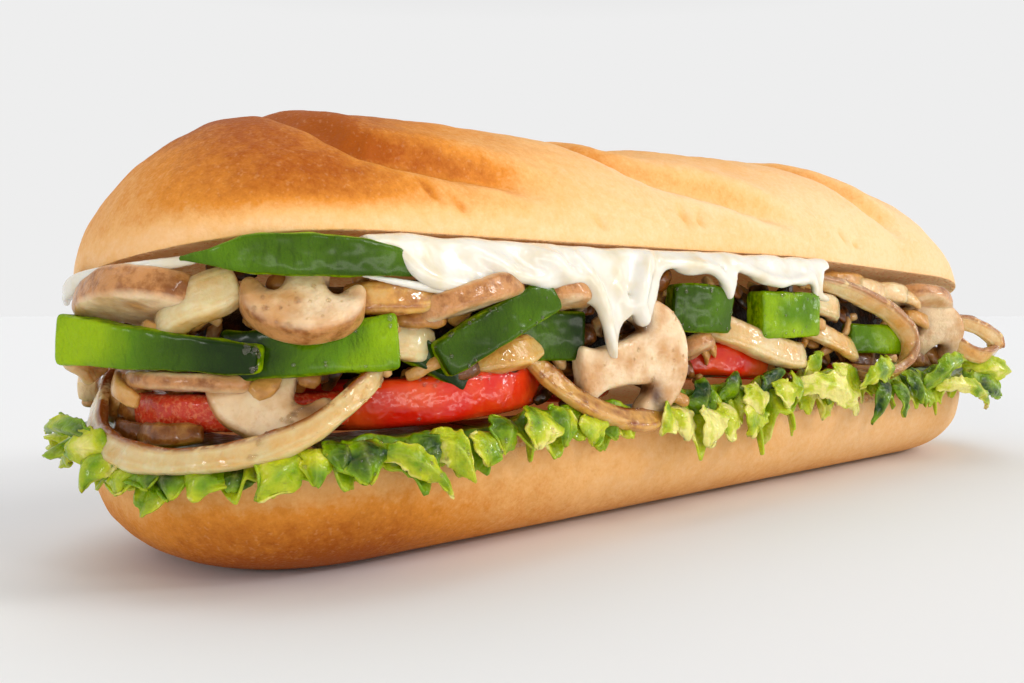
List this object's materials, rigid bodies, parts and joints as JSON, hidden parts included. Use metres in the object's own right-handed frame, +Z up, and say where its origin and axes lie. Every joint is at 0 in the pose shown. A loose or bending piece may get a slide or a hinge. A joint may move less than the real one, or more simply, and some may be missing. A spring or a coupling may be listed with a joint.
{
  "type": "submarine sandwich",
  "caption": "Long crusty roll split into two halves, filled with lettuce, tomato, green pepper, mushroom, onion and melted cheese, lying on its flat base.",
  "frame": {"origin": "middle of the flat sole of the lower half of the roll, on the surface that it rests on", "axes": "+X along the roll, towards the end that is far away in the picture; -Y towards the side where the filling shows; +Z up"},
  "size_m": [0.3087, 0.097, 0.0956],
  "materials": {
    "crust": "golden-tan baked crust, browner in the slashes and at the near end, with pale crumb on the cut faces",
    "lettuce": "moist, ruffled leaf, bright green with yellow-green ribs",
    "tomato": "wet red tomato slice",
    "pepper": "glossy green pepper skin with bright yellow-green cut faces",
    "mushroom": "cooked mushroom slice, pale beige face with brown skin and gills",
    "onion": "translucent fried onion, pale yellow with browned edges",
    "cheese": "smooth creamy white melted cheese",
    "saute": "dark brown moist trimmings in the gaps"
  },
  "bodies": {
    "root": {"bread_bottom": "crust", "bread_top": "crust", "cheese_melted": "cheese", "lettuce_back_left": "lettuce", "lettuce_back_right": "lettuce", "lettuce_far_end": "lettuce", "lettuce_front_centre": "lettuce", "lettuce_front_left": "lettuce", "lettuce_front_right": "lettuce", "lettuce_left": "lettuce", "lettuce_left_end": "lettuce", "lettuce_right": "lettuce", "lettuce_right_end": "lettuce", "mushroom_back_left": "mushroom", "mushroom_back_right": "mushroom", "mushroom_bit_left_end": "mushroom", "mushroom_curl": "mushroom", "mushroom_large_centre": "mushroom", "mushroom_left_end": "mushroom", "mushroom_lower_left": "mushroom", "mushroom_right_end": "mushroom", "mushroom_small_centre": "mushroom", "mushroom_thin_left": "mushroom", "mushroom_under_cheese": "mushroom", "mushroom_upper": "mushroom", "mushroom_upper_right": "mushroom", "onion_arc_centre": "onion", "onion_back_left": "onion", "onion_back_middle": "onion", "onion_back_right": "onion", "onion_bit_right": "onion", "onion_chunk_left": "onion", "onion_clear_middle": "onion", "onion_golden_top": "onion", "onion_inner_right": "onion", "onion_left_end": "onion", "onion_loop_right": "onion", "onion_loop_right_end": "onion", "onion_right_corner": "onion", "onion_ring_left": "onion", "onion_strip_right": "onion", "onion_yellow_centre": "onion", "pepper_bit_low": "pepper", "pepper_block_back_right": "pepper", "pepper_block_bright": "pepper", "pepper_block_centre": "pepper", "pepper_block_cheese": "pepper", "pepper_block_right": "pepper", "pepper_strip_back_left": "pepper", "pepper_strip_back_middle": "pepper", "pepper_strip_centre": "pepper", "pepper_strip_inner_left": "pepper", "pepper_strip_left": "pepper", "pepper_strip_top_left": "pepper", "saute_heap": "saute", "tomato_back_left": "tomato", "tomato_back_right": "tomato", "tomato_left": "tomato", "tomato_middle": "tomato", "tomato_right": "tomato"}
  },
  "joints": []
}
